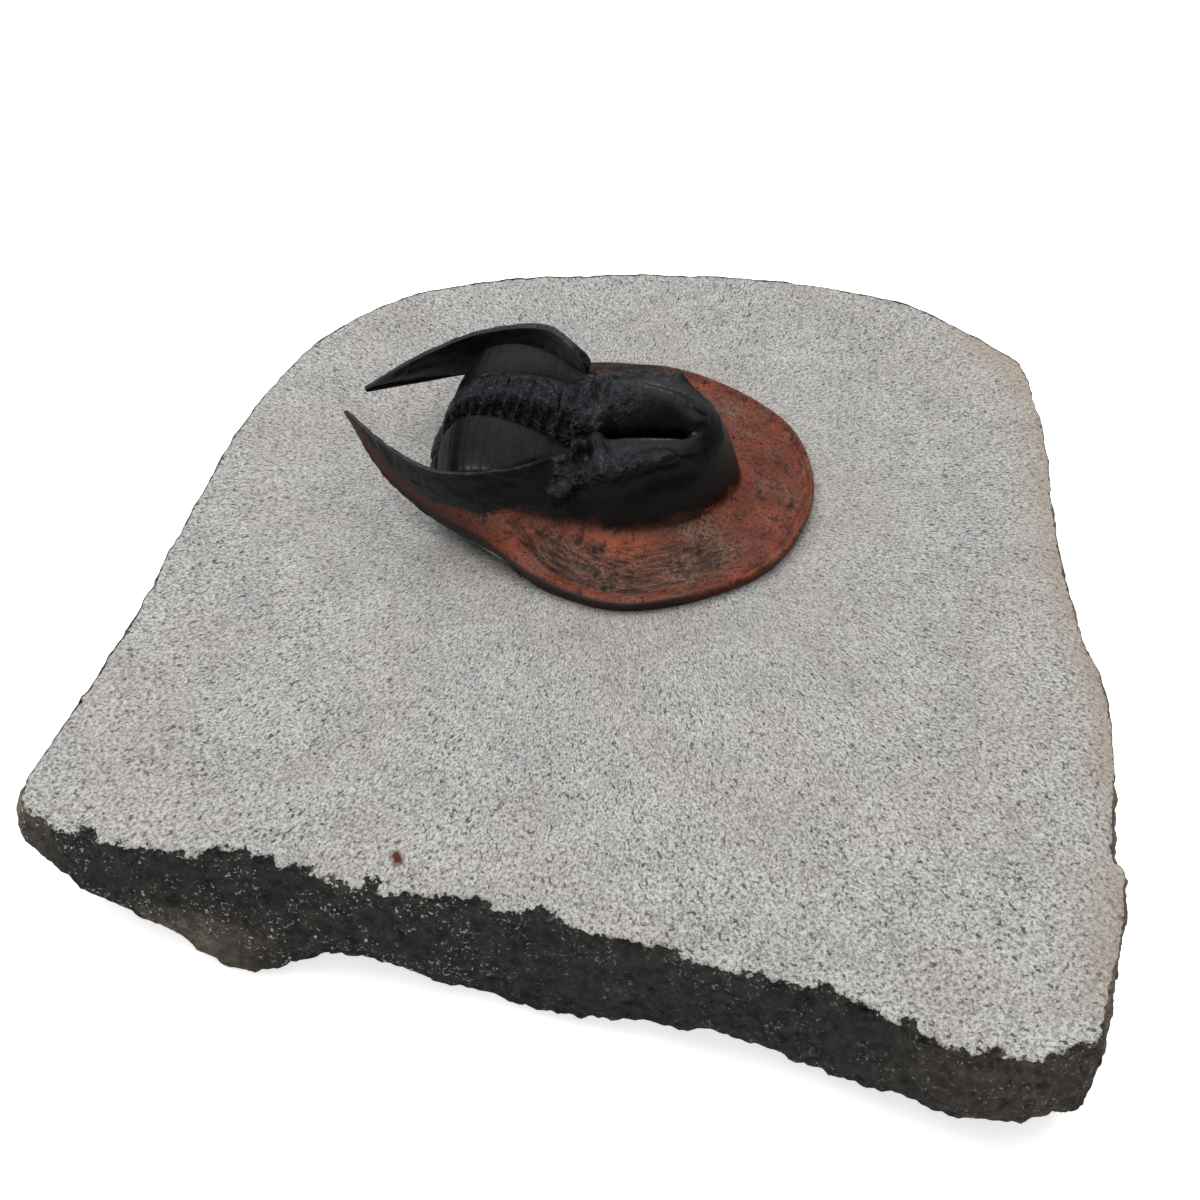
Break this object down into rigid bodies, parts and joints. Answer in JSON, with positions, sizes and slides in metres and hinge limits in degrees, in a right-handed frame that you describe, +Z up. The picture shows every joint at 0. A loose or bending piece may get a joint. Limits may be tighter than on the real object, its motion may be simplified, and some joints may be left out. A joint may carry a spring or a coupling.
{
  "type": "fossil trilobite",
  "caption": "Fossil trilobite with a wide horseshoe brim, a domed head, two long genal blades and a ribbed body, standing free on a ground slab of grey limestone.",
  "frame": {"origin": "on the plane that the slab rests on, under the middle of the object's bounding box", "axes": "+Z up from the slab, +X towards the trilobite's head, +Y to the trilobite's left"},
  "size_m": [0.1081, 0.111, 0.0298],
  "materials": {
    "limestone": "ground matt top, rough broken sides",
    "head_shell": "satin black calcite shell, orange-brown brim",
    "body_shell": "satin black calcite shell"
  },
  "bodies": {
    "root": {"matrix_slab": "limestone", "cephalon": "head_shell", "thoracic_segment_01": "body_shell", "thoracic_segment_02": "body_shell", "thoracic_segment_03": "body_shell", "thoracic_segment_04": "body_shell", "thoracic_segment_05": "body_shell", "thoracic_segment_06": "body_shell", "thoracic_segment_07": "body_shell", "thoracic_segment_08": "body_shell", "thoracic_segment_09": "body_shell", "thoracic_segment_10": "body_shell", "thoracic_segment_11": "body_shell", "thoracic_segment_12": "body_shell", "thoracic_segment_13": "body_shell", "thoracic_segment_14": "body_shell", "thoracic_segment_15": "body_shell", "thoracic_segment_16": "body_shell", "pygidium": "body_shell"}
  },
  "joints": []
}
